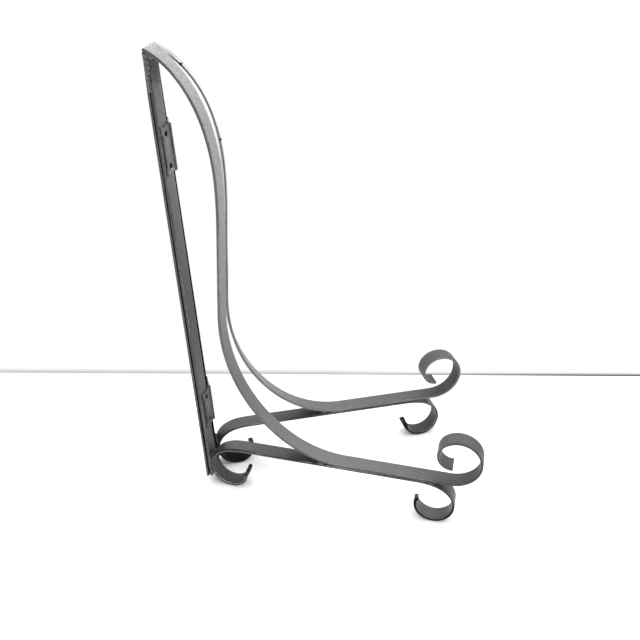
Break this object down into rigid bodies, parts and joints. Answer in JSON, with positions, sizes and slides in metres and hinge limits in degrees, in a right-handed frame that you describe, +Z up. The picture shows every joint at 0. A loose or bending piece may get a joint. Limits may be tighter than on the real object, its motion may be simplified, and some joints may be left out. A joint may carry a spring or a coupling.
{
  "type": "folding display easel",
  "caption": "Folding display easel of flat steel bar: hinged side frames with S-curved back rests, ledge arms and scroll feet.",
  "frame": {"origin": "On the floor plane, under the middle of the easel's bounding box as it stands open", "axes": "+X to the front, where the ledge arms point; +Y to the easel's left; +Z up"},
  "size_m": [0.2836, 0.1654, 0.4152],
  "materials": {
    "painted_bar": "satin dark grey paint on rolled flat bar, worn along the edges",
    "hinge_plate": "satin dark grey paint on pressed steel",
    "hinge_pin": "satin dark grey paint over a steel pin",
    "weld_metal": "painted weld metal, rippled"
  },
  "bodies": {
    "right_side": {"lower_hinge_pin": "hinge_pin", "lower_hinge_right_leaf": "hinge_plate", "right_backrest_strip": "painted_bar", "right_crown_corner_bead": "weld_metal", "right_crown_seam_bead": "weld_metal", "right_foot_strip": "painted_bar", "right_front_arm_bead": "weld_metal", "right_heel_lower_bead": "weld_metal", "right_heel_upper_bead": "weld_metal", "right_lower_leaf_lower_tack": "weld_metal", "right_lower_leaf_upper_tack": "weld_metal", "right_post_back_bar": "painted_bar", "right_post_front_bar": "painted_bar", "right_post_seam_bead": "weld_metal", "right_rear_arm_bead": "weld_metal", "right_upper_leaf_lower_tack": "weld_metal", "right_upper_leaf_upper_tack": "weld_metal", "upper_hinge_pin": "hinge_pin", "upper_hinge_right_leaf": "hinge_plate"},
    "left_side": {"left_backrest_strip": "painted_bar", "left_crown_corner_bead": "weld_metal", "left_crown_seam_bead": "weld_metal", "left_foot_strip": "painted_bar", "left_front_arm_bead": "weld_metal", "left_heel_lower_bead": "weld_metal", "left_heel_upper_bead": "weld_metal", "left_lower_leaf_lower_tack": "weld_metal", "left_lower_leaf_upper_tack": "weld_metal", "left_post_back_bar": "painted_bar", "left_post_front_bar": "painted_bar", "left_post_seam_bead": "weld_metal", "left_rear_arm_bead": "weld_metal", "left_upper_leaf_lower_tack": "weld_metal", "left_upper_leaf_upper_tack": "weld_metal", "lower_hinge_left_leaf": "hinge_plate", "upper_hinge_left_leaf": "hinge_plate"}
  },
  "joints": [
    {"name": "easel_fold", "type": "hinge", "parent": "right_side", "child": "left_side", "pos_m": [-0.11799, 0, 0.18935], "axis": [-0.0633, 0, 0.998], "range_deg": [-28, 5]}
  ]
}
